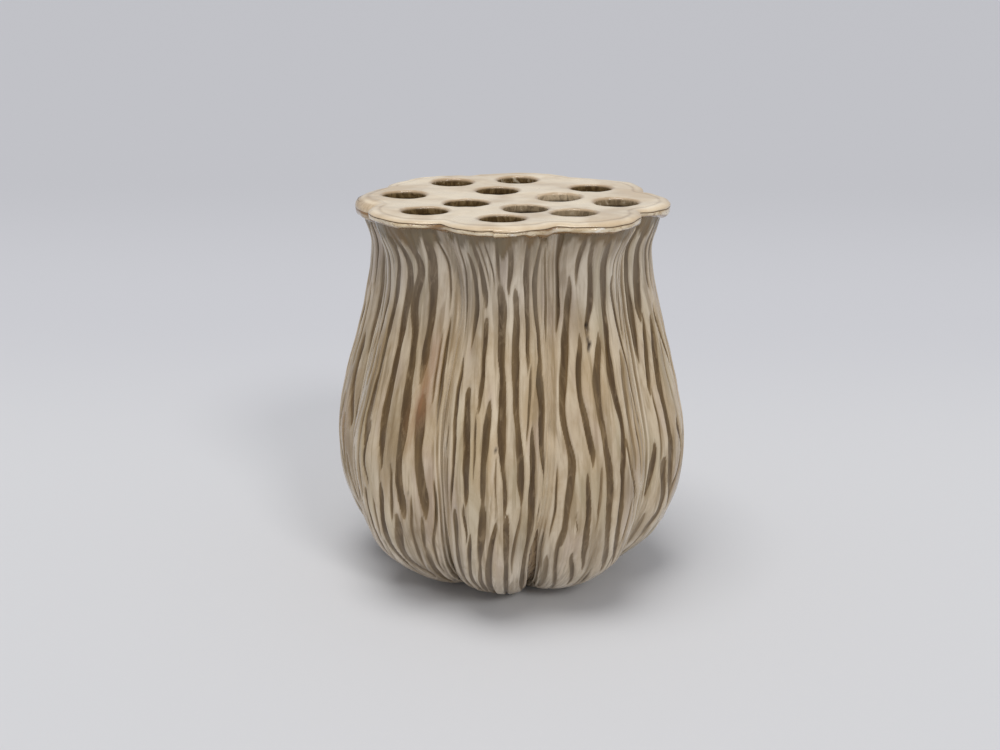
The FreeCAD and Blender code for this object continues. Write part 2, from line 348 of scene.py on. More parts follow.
class Skin:
    """The wall's outside between two heights, as a grid of points that goes once round."""

    def __init__(self, low, high, rows, across):
        self.z = even_heights(low, high, rows)[:, None] * np.ones((1, across * LOBES))
        places = np.tile(places_across(across), LOBES)
        self.lobe = np.repeat(np.arange(LOBES), across)
        self.across = places[None, :] * np.ones((rows, 1))
        crest, crease = wall_reaches(self.z[:, 0])
        left = np.stack([crease_bearing(j, self.z[:, 0]) for j in range(LOBES)], 1)
        right = np.stack([crease_bearing(j + 1, self.z[:, 0]) for j in range(LOBES)], 1)
        right[:, -1] = left[:, 0] + math.tau
        share = (self.across + 1) / 2
        self.bearing = left[:, self.lobe] * (1 - share) + right[:, self.lobe] * share
        reach = lobed_reach(self.across * HALF, crest[:, None], crease[:, None])
        self.half_width = (right - left) / 2 * (crest * 0.62 + crease * 0.38)[:, None] * 1.03
        self.to_crease = (1 - np.abs(self.across)) * self.half_width[:, self.lobe]
        self.up = along_wall(self.z)
        self.round = ROUND_REACH * self.bearing
        self.cut = np.zeros_like(self.z)
        self.deep = np.zeros_like(self.z)
        self.points = self.place(reach, self.z)

    def place(self, reach, height):
        return np.stack([reach * np.cos(self.bearing), reach * np.sin(self.bearing), height], -1)

    def normals(self):
        around = np.roll(self.points, -1, 1) - np.roll(self.points, 1, 1)
        upward = np.gradient(self.points, axis=0)
        out = np.cross(around, upward)
        return out / np.linalg.norm(out, axis=-1, keepdims=True)

    def patch(self, lobe, low, high):
        """The rows between two heights, and the columns of a lobe."""
        rows = np.flatnonzero((self.z[:, 0] > low) & (self.z[:, 0] < high))
        return rows, np.flatnonzero(self.lobe == lobe)

    def carve(self, lobe, width, stroke, tone, seed):
        """Adds one flat-bottomed stroke to `cut`, 1 in a stroke and 0 on a ridge, and to `deep`."""
        draw = random.Random(seed)
        heights, places = zip(*sorted(stroke))
        low, high = heights[0] - POINTED, heights[-1] + POINTED
        rows, columns = self.patch(lobe, low, high)
        if not len(rows):
            return
        z = self.z[rows, 0]
        half_lobe = self.half_width[rows, lobe]
        shift, other = draw.uniform(0, 9), draw.uniform(0, 9)
        wander = 0.10 * np.sin(z / 4.1 + shift) + 0.04 * np.sin(z / 1.5 + other)
        middle = smooth_curve(z, heights, places) * half_lobe + wander
        slope = np.gradient(middle, z) if len(z) > 1 else 0 * z
        edge = STROKE_EDGE + SLANT_EDGE * np.abs(slope)
        swell = 1 + 0.16 * np.sin(z / 4.9 + other) + 0.05 * np.sin(z / 1.7 + shift)
        to_low, to_high = z - low, high - z
        taper = np.clip(to_low / draw.uniform(4, 11), 0, 1) ** 0.6
        taper *= np.clip(to_high / draw.uniform(2, 8), 0, 1) ** 0.6
        half = width / 2 * swell * taper
        aside = self.across[np.ix_(rows, columns)] * half_lobe[:, None] - middle[:, None]
        slant = draw.choice([-0.3, -0.15, 0.15, 0.3]) * np.clip(aside / (half[:, None] + 0.2), -1, 1)
        inside = 1 - smooth_step((np.abs(aside) - half[:, None]) / edge[:, None] + 0.5)
        inside *= smooth_step(np.minimum(to_low, to_high) / 0.7)[:, None]
        deepest = tone * (0.55 + 0.45 * smooth_step(np.minimum(to_low, to_high) / 7))
        sunk = inside * deepest[:, None] * (1 + slant)
        here = np.ix_(rows, columns)
        self.cut[here] = np.maximum(self.cut[here], inside)
        self.deep[here] = np.maximum(self.deep[here], sunk)

    def is_clear(self, lobe, stroke, reach):
        """Whether a stroke and `reach` millimetres each side of it are uncut and off the creases."""
        heights, places = zip(*sorted(stroke))
        rows, columns = self.patch(lobe, heights[0], heights[-1])
        if len(rows) < 3:
            return False
        half_lobe = self.half_width[rows, lobe][:, None]
        middle = np.interp(self.z[rows, 0], heights, places)[:, None] * half_lobe
        if (np.abs(middle) > half_lobe - 2.0).any():
            return False
        near = np.abs(self.across[np.ix_(rows, columns)] * half_lobe - middle) < reach
        return self.cut[np.ix_(rows, columns)][near].max() < 0.3

    def wash(self, patches):
        """A soft field that is strong at the given patches."""
        field = np.zeros_like(self.z)
        for lobe, height, place, tall, wide, strength in patches:
            columns = self.lobe == lobe
            lift = (self.z[:, columns] - height) / tall
            aside = (self.across[:, columns] - place) / wide
            field[:, columns] += strength * np.exp(-(lift**2) - aside**2)
        return field


def made_up_strokes(lobe, left, right):
    """Strokes of the seen kind for a stretch of wall that was not seen."""
    draw = random.Random(40 + lobe)
    strokes = []
    lanes = max(2, round((right - left) / LANE))
    for lane in range(lanes):
        place = left + (right - left) * (lane + 0.5) / lanes
        top = draw.choice([draw.uniform(98, 110), 115])
        while top > 16:
            low = max(draw.uniform(6, 11), top - draw.uniform(26, 70))
            steady = min(1, (top - low) / STEADY_LENGTH)
            lean = draw.uniform(-0.07, 0.07) * steady
            sway = draw.uniform(-0.05, 0.05) * steady
            middle = (top + low) / 2
            start = place + draw.uniform(-0.05, 0.05)
            if top - low > 5:
                points = [(top, start), (middle, start + lean / 2 + sway), (low, start + lean)]
                strokes.append((draw.uniform(1.1, 2.4), points))
            top = low - draw.uniform(-3, 4)
    return strokes


def carve_all(skin, plan):
    for seed, stroke in enumerate(plan):
        skin.carve(*stroke, seed)


def plan_strokes():
    """Every stroke on the wall: the listed ones, made-up ones elsewhere, and slight ones in the gaps."""
    draw = random.Random(11)
    plan = []
    for lobe, strokes_here in STROKES.items():
        plan += [(lobe, width, stroke, draw.uniform(0.8, 1.0)) for width, stroke in strokes_here]
    for lobe, left, right in UNSEEN:
        made_up = made_up_strokes(lobe, left, right)
        plan += [(lobe, width, stroke, draw.uniform(0.75, 1.0)) for width, stroke in made_up]
    trial = Skin(0.0, LIP_TOP, TRIAL_ROWS, TRIAL_COLUMNS)
    carve_all(trial, plan)
    for clear, lengths, widths, tries in FILLERS:
        for _ in range(tries):
            lobe, place, lean = draw.randrange(LOBES), draw.uniform(-0.95, 0.95), draw.uniform(-0.08, 0.08)
            top = draw.choice([draw.uniform(16, 112), draw.uniform(16, 50), 115])
            low = max(draw.uniform(3, 8), top - draw.uniform(*lengths))
            lean *= min(1, (top - low) / STEADY_LENGTH)
            width, sway = draw.uniform(*widths), draw.uniform(-0.001, 0.001) * (top - low)
            stroke = [(top, place), ((top + low) / 2, place + lean / 2 + sway), (low, place + lean)]
            if top - low > 5 and trial.is_clear(lobe, stroke, width / 2 + clear):
                plan.append((lobe, width, stroke, draw.uniform(0.35, 0.9)))
                trial.carve(*plan[-1], len(plan) - 1)
    return plan


def fold_strength(skin):
    """How strongly the nearest crease shows its fine folds."""
    strength = np.zeros_like(skin.z)
    for lobe in range(LOBES):
        columns = np.flatnonzero(skin.lobe == lobe)
        ends = []
        for j in (lobe, lobe + 1):
            heights, values = zip(*CREASE_FOLDS[j % LOBES])
            ends.append(np.interp(skin.z[:, 0], heights, values)[:, None])
        strength[:, columns] = np.where(skin.across[:, columns] < 0, *ends)
    return strength


def shape_skin(skin):
    """Moves the skin's points out and in for strokes, creases and the hand's unevenness."""
    folds = fold_strength(skin)
    uneven = 0.75 + 0.25 * ripple(3, 10, 40)(skin.round * 0.3, skin.z)
    near = np.exp(-((skin.to_crease / FOLD_REACH) ** 4)) * folds * uneven
    wave = 0.5 * np.cos(math.tau * skin.to_crease / FOLD_SPACING)
    # The fine lips along each crease, whose mask also paints a near-white highlight on them
    lip = near * (0.5 - wave) ** 2
    line = near * (0.5 + wave)
    skin.lip, skin.line = lip, line
    band_low = 110.5 + 2.2 * ripple(5, 4, 11)(skin.round)
    skin.band = smooth_step((skin.z - band_low) / 0.8) * smooth_step((skin.to_crease - 1.2) / 0.8)
    keep = smooth_step((skin.to_crease - 0.5 - 1.2 * folds) / 0.6)
    skin.cut *= keep
    skin.deep *= keep * np.interp(skin.z, [0, 25, 50, 85, 110], [0.70, 0.80, 1.0, 1.0, 0.65])
    depth = STROKE_DEPTH * (1 + 0.25 * ripple(7, 9, 30)(skin.round, skin.up))
    shift = 0.28 * ripple(2, 24, 70)(skin.round, skin.up) + 0.05 * ripple(4, 4, 12)(skin.round, skin.up)
    shift += 0.35 - depth * np.maximum(0.35 * skin.cut + 0.65 * skin.deep, 0.5 * skin.band)
    shift += 0.62 * lip - 0.30 * line
    low_down = 1 - smooth_step((skin.z - 4) / 34)
    # Painted shade: the creases are darkened low down, towards the foot
    skin.valley = low_down * hump(skin.to_crease / 1.1)
    shift -= (0.7 + 1.5 * low_down) * hump(skin.to_crease / 1.9)
    pits = np.zeros_like(skin.z)
    for lobe, height, place, radius in PITS:
        columns = np.flatnonzero(skin.lobe == lobe)
        aside = (skin.across[:, columns] - place) * skin.half_width[:, [lobe]]
        away = np.hypot(aside, skin.z[:, columns] - height)
        pits[:, columns] += 1 - smooth_step((away - radius * 0.6) / 0.45)
    skin.pits = np.clip(pits, 0, 1)
    shift -= 0.35 * skin.pits
    at_foot = smooth_step(skin.z / 3.0)
    skin.points = skin.points + skin.normals() * (shift * at_foot)[..., None]


def finished_skin(low, high, rows, plan):
    skin = Skin(low, high, rows, LOBE_COLUMNS)
    carve_all(skin, plan)
    shape_skin(skin)
    return skin


# ---------------------------------------------------------------- meshes


def grid_faces(rows, columns, first=0):
    """Quads of a grid that goes once round, with its outside towards the reader."""
    r, c = np.meshgrid(np.arange(rows - 1), np.arange(columns), indexing="ij")
    after = (c + 1) % columns
    low, high = r * columns, (r + 1) * columns
    quads = np.stack([low + c, low + after, high + after, high + c], -1)
    return (quads.reshape(-1, 4) + first).tolist()


def ring_ids(k, count, first=0):
    """The numbers of the points of the k-th ring of `count` points, counted from `first`."""
    return list(range(first + k * count, first + (k + 1) * count))


def ring_faces(lower, upper):
    """Quads between two closed rings of as many points each."""
    n = len(lower)
    return [(lower[i], lower[(i + 1) % n], upper[(i + 1) % n], upper[i]) for i in range(n)]


def put(name, data):
    """A new object in the scene."""
    made = bpy.data.objects.new(name, data)
    bpy.context.scene.collection.objects.link(made)
    return made


def make_piece(name, points, faces, node):
    mesh = bpy.data.meshes.new(name)
    mesh.from_pydata((np.asarray(points) * MM).tolist(), [], faces)
    mesh.shade_smooth()
    mesh.validate()
    piece = put(name, mesh)
    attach(piece, "root")
    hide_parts(node)
    return piece


def add_field(piece, name, values):
    """A number for each of the piece's points, which its material reads."""
    field = piece.data.attributes.new(name, "FLOAT", "POINT")
    field.data.foreach_set("value", np.asarray(values, np.float32).ravel())


def add_place(piece, across, up):
    """The place of each point round the wall and up it, in millimetres, which its material reads."""
    spot = np.stack([np.ravel(across), np.ravel(up), np.zeros(np.size(up))], -1).astype(np.float32)
    place = piece.data.attributes.new("place", "FLOAT_VECTOR", "POINT")
    place.data.foreach_set("vector", spot.ravel())


def skin_fields(piece, skin, extra):
    """The skin's fields on a piece that has `extra` points after the skin's, where each field is 0."""
    fields = {
        "cut": skin.cut, "deep": skin.deep, "lip": skin.lip, "line": skin.line, "band": skin.band,
        "pits": skin.pits, "valley": skin.valley,
        "brown": skin.wash(BROWN_WASHES), "rust": skin.wash(RUST_WASHES),
    }
    for name, field in fields.items():
        add_field(piece, name, np.concatenate([field.ravel(), np.zeros(extra)]))
    pad = np.zeros(extra)
    add_place(piece, np.concatenate([skin.round.ravel(), pad]), np.concatenate([skin.up.ravel(), pad]))


def paint_faces(piece, materials, outside, others):
    """The first material on the first `outside` faces, and on the other ones the numbers `others`."""
    for material in materials:
        piece.data.materials.append(material)
    which = np.zeros(len(piece.data.polygons), np.int32)
    which[outside:] = others
    piece.data.polygons.foreach_set("material_index", which)


def inner_ring(height, columns, inset):
    """A plain lobed ring inside the wall."""
    crest, crease = wall_reaches(np.array([height]))
    turn = np.arange(columns) / columns * math.tau
    from_crest = (turn + HALF) % STEP - HALF
    reach = lobed_reach(from_crest, crest - inset, crease - inset)
    return np.stack([reach * np.cos(turn + FRONT), reach * np.sin(turn + FRONT), 0 * turn + height], -1)


def make_body(plan, carved, inside):
    """The carved wall, as a closed shell with a plain inside."""
    skin = finished_skin(SEAT_TOP, LIP_TOP, BODY_ROWS, plan)
    columns, inner_columns = LOBE_COLUMNS * LOBES, INNER_COLUMNS * LOBES
    points = [skin.points.reshape(-1, 3)]
    faces = grid_faces(BODY_ROWS, columns)
    outside = len(faces)
    for height in np.linspace(SLAB_LOW, SEAT_TOP, INNER_ROWS):
        ring = inner_ring(height, inner_columns, WALL_THICK)
        points.append(np.roll(ring, INNER_COLUMNS // 2, 0))
    first = BODY_ROWS * columns
    faces += grid_faces(INNER_ROWS, inner_columns, first)
    ratio = LOBE_COLUMNS // INNER_COLUMNS
    lip_end = ((BODY_ROWS - 1) * columns, first, True)
    foot_end = (0, first + (INNER_ROWS - 1) * inner_columns, False)
    for outer_start, inner_start, flip in (lip_end, foot_end):
        for i in range(inner_columns):
            outer = [outer_start + (i * ratio + k) % columns for k in range(ratio + 1)]
            inner = [inner_start + i, inner_start + (i + 1) % inner_columns]
            loop = outer + inner[::-1]
            faces.append(loop if flip else loop[::-1])
    piece = make_piece("carved_wall", np.concatenate(points), faces, "body_wall")
    skin_fields(piece, skin, INNER_ROWS * inner_columns)
    paint_faces(piece, (carved, inside), outside, 1)


def make_base(plan, carved, inside):
    """The foot's skin, which carries on from the wall, with the worn underside and the inner floor."""
    skin = finished_skin(0.0, SEAT_TOP, BASE_ROWS, plan)
    columns = LOBE_COLUMNS * LOBES
    points = [skin.points.reshape(-1, 3)]
    faces = grid_faces(BASE_ROWS, columns)
    outside = len(faces)
    under = skin.points[0]
    rings = []
    for share, lift in ((0.96, 0.0), (0.84, 0.0), (0.80, 0.45), (0.40, FOOT_HOLLOW)):
        rings.append(under * [share, share, 0] + [0, 0, lift])
    floor = skin.points[-1]
    for share, drop in ((0.86, 0.0), (0.50, FLOOR_SAG)):
        rings.append(floor * [share, share, 1] - [0, 0, drop])
    points += rings
    first = BASE_ROWS * columns
    ids = [ring_ids(k, columns, first) for k in range(len(rings))]
    bottom, top = ring_ids(0, columns), ring_ids(BASE_ROWS - 1, columns)
    for chain in ([ids[3], ids[2], ids[1], ids[0], bottom], [top, ids[4], ids[5]]):
        for lower, upper in zip(chain, chain[1:]):
            faces += ring_faces(lower, upper)
    centre = first + len(rings) * columns
    points.append(np.array([[0, 0, FOOT_HOLLOW], [0, 0, SEAT_TOP - FLOOR_SAG]]))
    faces += [(ids[3][(i + 1) % columns], ids[3][i], centre) for i in range(columns)]
    faces += [(ids[5][i], ids[5][(i + 1) % columns], centre + 1) for i in range(columns)]
    piece = make_piece("foot", np.concatenate(points), faces, "base_slab")
    skin_fields(piece, skin, len(rings) * columns + 2)
    underneath = [face.center.z < UNDER_TOP * MM for face in piece.data.polygons[outside:]]
    paint_faces(piece, (carved, bare_clay(), inside), outside, np.where(underneath, 1, 2))


def turned_from(bearings, bearing):
    """How far each bearing is from one of them, at most half a turn either way."""
    return (bearings - bearing + math.pi) % math.tau - math.pi


class Outline:
    """The rim's scalloped outline, with its notches softened, and rings set in from it."""

    def __init__(self, columns):
        self.bearing = FRONT + np.arange(columns) / columns * math.tau
        turn = (self.bearing - FRONT + HALF) % STEP - HALF
        reach = lobed_reach(turn, RIM_CREST, RIM_CREASE)
        spread = np.arange(-12, 13)
        weights = hump(spread / 4.0)
        weights /= weights.sum()
        soft = sum(w * np.roll(reach, s) for s, w in zip(spread, weights))
        for j, fill in NOTCH_FILL.items():
            off = turned_from(self.bearing, FRONT - HALF + j * STEP)
            soft = soft + fill * hump(off / math.radians(9))
        off = turned_from(self.bearing, math.radians(BULGE_BEARING))
        soft = soft - 1.2 * hump(off / math.radians(16))
        self.length = ROUND_REACH * self.bearing
        hand = 0.15 * ripple(21, 14, 40)(self.length)
        self.reach = soft + hand + 0.06 * ripple(22, 5, 12)(self.length)
        self.spot = np.stack([self.reach * np.cos(self.bearing), self.reach * np.sin(self.bearing)], -1)
        along = np.roll(self.spot, -1, 0) - np.roll(self.spot, 1, 0)
        along /= np.linalg.norm(along, axis=-1, keepdims=True)
        self.out = np.stack([along[:, 1], -along[:, 0]], -1)
        self.bulge = smooth_step(3.0 - np.abs(off) / math.radians(9))

    def ring(self, inset, height):
        spot = self.spot - self.out * np.broadcast_to(inset, self.bearing.shape)[:, None]
        return np.column_stack([spot, np.broadcast_to(height, self.bearing.shape)])


def bump_at(outline, bearing, spread):
    """1 at a bearing in degrees, fading out over `spread` degrees each side."""
    return hump(turned_from(outline.bearing, math.radians(bearing)) / math.radians(spread))


def seam_height(outline):
    wave = 0.22 * ripple(31, 7, 26)(outline.length)
    return SEAM + wave - 0.5 * bump_at(outline, -2, 14) - 1.7 * outline.bulge


def coil_sections(outline, seam):
    """The coil's cross-section, all round at once: how far in, how high and how dark at each corner."""
    b = outline.bulge
    x = outline.length
    drips = 0.26 * ripple(33, 14, 40)(x) + 0.07 * ripple(34, 3, 8)(x)
    for bearing, spread, drop in DRIPS:
        drips = drips - drop * bump_at(outline, bearing, spread)
    low = RIM_LOW + drips - 3.7 * b
    tuck = 0.13 * (1 - b)
    swell = 0.14 * ripple(35, 4, 9)(x) + 0.18 * ripple(36, 9, 22)(x)
    tall = seam - low
    shut = 1 - b
    # The darkness at the lowest corners is painted shade along the coil's lower edge and underside; near
    # the seam it is the seam's brown
    return [
        (3.6, low - 0.6, 0),
        (1.7 + 0.8 * b, low - 0.45, 0.5),
        (0.85 + b, low - 0.08, 0.9),
        (0.35 - 0.5 * swell + 0.35 * b, low + 0.14 * tall, 0.7),
        (0.05 - swell - 0.35 * b, low + 0.34 * tall, 0.1),
        (-0.05 - swell - 0.6 * b, low + 0.52 * tall, 0),
        (0.02 - swell / 2 - 0.8 * b, seam - 0.28 * tall, 0.1),
        (tuck * 0.5 - 0.8 * b, seam - 0.11 * shut - 0.01, 0.5),
        (tuck * 1.1 + 0.05 - 0.8 * b, seam - 0.06 * shut, 0.8),
        (tuck * 1.8 + 0.25 - 0.6 * b, seam - 0.03 * shut, 1),
        (2.2, seam - 0.2, 1),
        (3.6, seam - 0.5, 0),
    ]


def make_rim():
    """The coil of clay under the top, whose lower edge drips."""
    outline = Outline(RIM_COLUMNS)
    sections = coil_sections(outline, seam_height(outline))
    points = np.concatenate([outline.ring(inset, height) for inset, height, _ in sections])
    faces = []
    for k in range(len(sections)):
        after = (k + 1) % len(sections)
        faces += ring_faces(ring_ids(k, RIM_COLUMNS), ring_ids(after, RIM_COLUMNS))
    piece = make_piece("rim_band", points, faces, "rim_coil")
    b = outline.bulge
    seam_stain_and_shade = []
    # Painted shade on the lower part of the left roll, added to the darkness of each corner
    for k, (_, _, dark) in enumerate(sections):
        seam_stain_and_shade.append(dark + 0.42 * b if k <= 7 else dark * (1 - 0.9 * b))
    stained = 0.7 * bump_at(outline, -113, 4) + 0.4 * bump_at(outline, -70, 5)
    add_field(piece, "seam", np.concatenate(seam_stain_and_shade) + np.tile(stained, len(sections)))
    add_place(piece, np.tile(outline.length, len(sections)), points[:, 2])
    piece.data.materials.append(rim_glaze())


def hole_centres():
    holes = [(reach, math.radians(bearing)) for reach, bearing in OUTER_HOLES + INNER_HOLES]
    return [(reach * math.cos(bearing), reach * math.sin(bearing)) for reach, bearing in holes]


def inside_outline(spots, edge):
    """Which spots lie inside a closed edge."""
    x, y = spots[:, 0][:, None], spots[:, 1][:, None]
    a, b = edge, np.roll(edge, -1, 0)
    spans = (a[:, 1] > y) != (b[:, 1] > y)
    cross = (b[:, 0] - a[:, 0]) * (y - a[:, 1]) / (b[:, 1] - a[:, 1] + 1e-12) + a[:, 0]
    return (np.count_nonzero(spans & (x < cross), axis=1) % 2) == 1


def fill_sheet(edge, rings, spacing):
    """Spots spread over a sheet with holes, and its triangles over edge, rings and those spots."""
    fixed = [edge, *rings]
    centres = np.array(hole_centres())
    reach = np.abs(edge).max()
    rows = np.arange(-reach, reach, spacing * 0.866)
    columns = np.arange(-reach, reach, spacing)
    spots = np.array([(x + (k % 2) * spacing / 2, y) for k, y in enumerate(rows) for x in columns])
    ring_radius = np.linalg.norm(rings[0] - centres[0], axis=1).mean()
    clear = np.linalg.norm(spots[:, None] - centres[None], axis=-1).min(1) > ring_radius + spacing * 0.45
    spots = spots[clear & inside_outline(spots, edge * (1 - 0.5 * spacing / reach))]
    everything = np.concatenate([*fixed, spots])
    loops, start = [], 0
    for loop in fixed:
        n = len(loop)
        loops += [(start + i, start + (i + 1) % n) for i in range(n)]
        start += n
    found = delaunay_2d_cdt([Vector(p) for p in everything.tolist()], loops, [], 1, 1e-6)
    origin = {i: olds[0] for i, olds in enumerate(found[3]) if olds}
    triangles = []
    for face in found[2]:
        corners = [origin[i] for i in face]
        middle = everything[corners].mean(0)
        if np.linalg.norm(centres - middle, axis=1).min() > ring_radius * 0.985:
            triangles.append(corners)
    return spots, triangles


def quarter_round(turns):
    """How far in and how far up a quarter round of radius 1 is at each of the turns, in degrees."""
    return [(1 - math.cos(math.radians(turn)), math.sin(math.radians(turn))) for turn in turns]


def slab_sections(outline, seam):
    """The slab's rolled edge, all round at once: how far in, how high and how dark at each corner."""
    b = outline.bulge
    tuck = 0.12 * (1 - b)
    wide, tall, shut = 2.9 + 1.6 * b, TOP - seam - 0.16, 1 - b
    sections = [
        (3.2, SLAB_LOW + 0.2, 1),
        (3.2, seam - 0.25, 1),
        (tuck * 1.7 + 0.25 - 0.6 * b, seam - 0.02 * shut, 1),
        (tuck + 0.05 - 0.8 * b, seam + 0.03 * shut, 0.7),
        (tuck * 0.4 - 0.8 * b, seam + 0.08 * shut + 0.01, 0.5),
        (0.02 - 0.8 * b, TOP - tall, 0.3),
    ]
    for inward, up in quarter_round((15, 30, 45, 60, 75, 90)):
        sections.append(((wide + 0.8 * b) * inward - 0.8 * b, TOP - tall + tall * up, 0))
    return sections + [(wide + 0.25, TOP - 0.10, 0), (wide + 0.55, TOP - 0.02, 0), (wide + 1.2, TOP, 0)]


def hole_steps():
    """A stem hole's wall from the top down: how far out from its radius, and how high."""
    steps = [(HOLE_ROUND, TOP)]
    for outward, up in quarter_round((70, 50, 30, 12, 0)):
        steps.append((HOLE_ROUND * outward, TOP - HOLE_ROUND * (1 - up)))
    return steps + [(0, TOP - 1.6), (0, TOP - 2.2), (0.05, SLAB_LOW + 0.3), (0.35, SLAB_LOW)]


def make_top():
    """The pierced slab: a rolled edge, a gently uneven face, and round stem holes with soft lips."""
    outline = Outline(RIM_COLUMNS)
    sections = slab_sections(outline, seam_height(outline))
    b = outline.bulge
    points = [outline.ring(inset, height) for inset, height, _ in sections]
    # The seam's brown fades out on the left roll, which gets painted shade on its lower part instead
    seam_stain_and_shade = [dark * (1 - b) + 0.36 * b * (k < 9) for k, (_, _, dark) in enumerate(sections)]
    faces = []
    for k in range(len(sections) - 1):
        faces += ring_faces(ring_ids(k, RIM_COLUMNS), ring_ids(k + 1, RIM_COLUMNS))
    count = len(sections) * RIM_COLUMNS
    angles = np.arange(HOLE_TURNS) / HOLE_TURNS * math.tau
    upper, lower = [], []
    draw = random.Random(52)
    for x, y in hole_centres():
        shift, squash = draw.uniform(0, math.tau), draw.uniform(-0.10, 0.10)
        radius = HOLE_RADIUS + squash * np.cos(2 * angles + shift) + 0.06 * np.cos(3 * angles - shift)
        rings = []
        for out, height in hole_steps():
            spot = np.stack([x + (radius + out) * np.cos(angles), y + (radius + out) * np.sin(angles)], -1)
            points.append(np.column_stack([spot, np.full(HOLE_TURNS, height)]))
            seam_stain_and_shade.append(np.zeros(HOLE_TURNS))
            rings.append(ring_ids(0, HOLE_TURNS, count))
            count += HOLE_TURNS
        for outer, inner in zip(rings, rings[1:]):
            faces += ring_faces(outer, inner)
        upper.append(rings[0])
        lower.append(rings[-1])
    placed = np.concatenate(points)[:, :2]
    face_sheet = (ring_ids(len(sections) - 1, RIM_COLUMNS), upper, FACE_SPACING, TOP, 0.0, 1)
    under_sheet = (ring_ids(0, RIM_COLUMNS), lower, UNDER_SPACING, SLAB_LOW, 1.0, -1)
    for edge, rings, spacing, height, dark, way in (face_sheet, under_sheet):
        spots, triangles = fill_sheet(placed[edge], [placed[ring] for ring in rings], spacing)
        known = edge + [i for ring in rings for i in ring] + ring_ids(0, len(spots), count)
        faces += [[known[i] for i in triangle[::way]] for triangle in triangles]
        points.append(np.column_stack([spots, np.full(len(spots), height)]))
        seam_stain_and_shade.append(np.full(len(spots), dark))
        count += len(spots)
    points = np.concatenate(points)
    flat = points[:, :2]
    uneven = 0.16 * ripple(61, 16, 45)(*flat.T) + 0.05 * ripple(62, 4, 10)(*flat.T)
    dished = FACE_DISH * (1 - (np.linalg.norm(flat, axis=1) / RIM_CREST) ** 2)
    points[:, 2] += (uneven - dished) * smooth_step((points[:, 2] - SEAM) / (TOP - SEAM))
    piece = make_piece("top_slab", points, faces, "pierced_top")
    centres = np.array(hole_centres())
    to_hole = np.linalg.norm(flat[:, None] - centres[None], axis=-1).min(1) - HOLE_RADIUS
    to_rim = np.array([np.linalg.norm(outline.spot - p, axis=1).min() for p in flat])
    groove = hump((to_rim - GROOVE_INSET) / 0.35)
    fields = {
        "seam": np.concatenate(seam_stain_and_shade), "to_hole": to_hole, "to_rim": to_rim, "groove": groove,
        "depth": TOP - points[:, 2],
    }
    for name, field in fields.items():
        add_field(piece, name, field)
    piece.data.materials.append(top_glaze())


# ---------------------------------------------------------------- materials


def shade(red, green, blue):
    """A display colour, 0 to 255, as the linear one that shaders take."""
    parts = [v / 255 for v in (red, green, blue)]
    return [v / 12.92 if v <= 0.04045 else ((v + 0.055) / 1.055) ** 2.4 for v in parts] + [1]


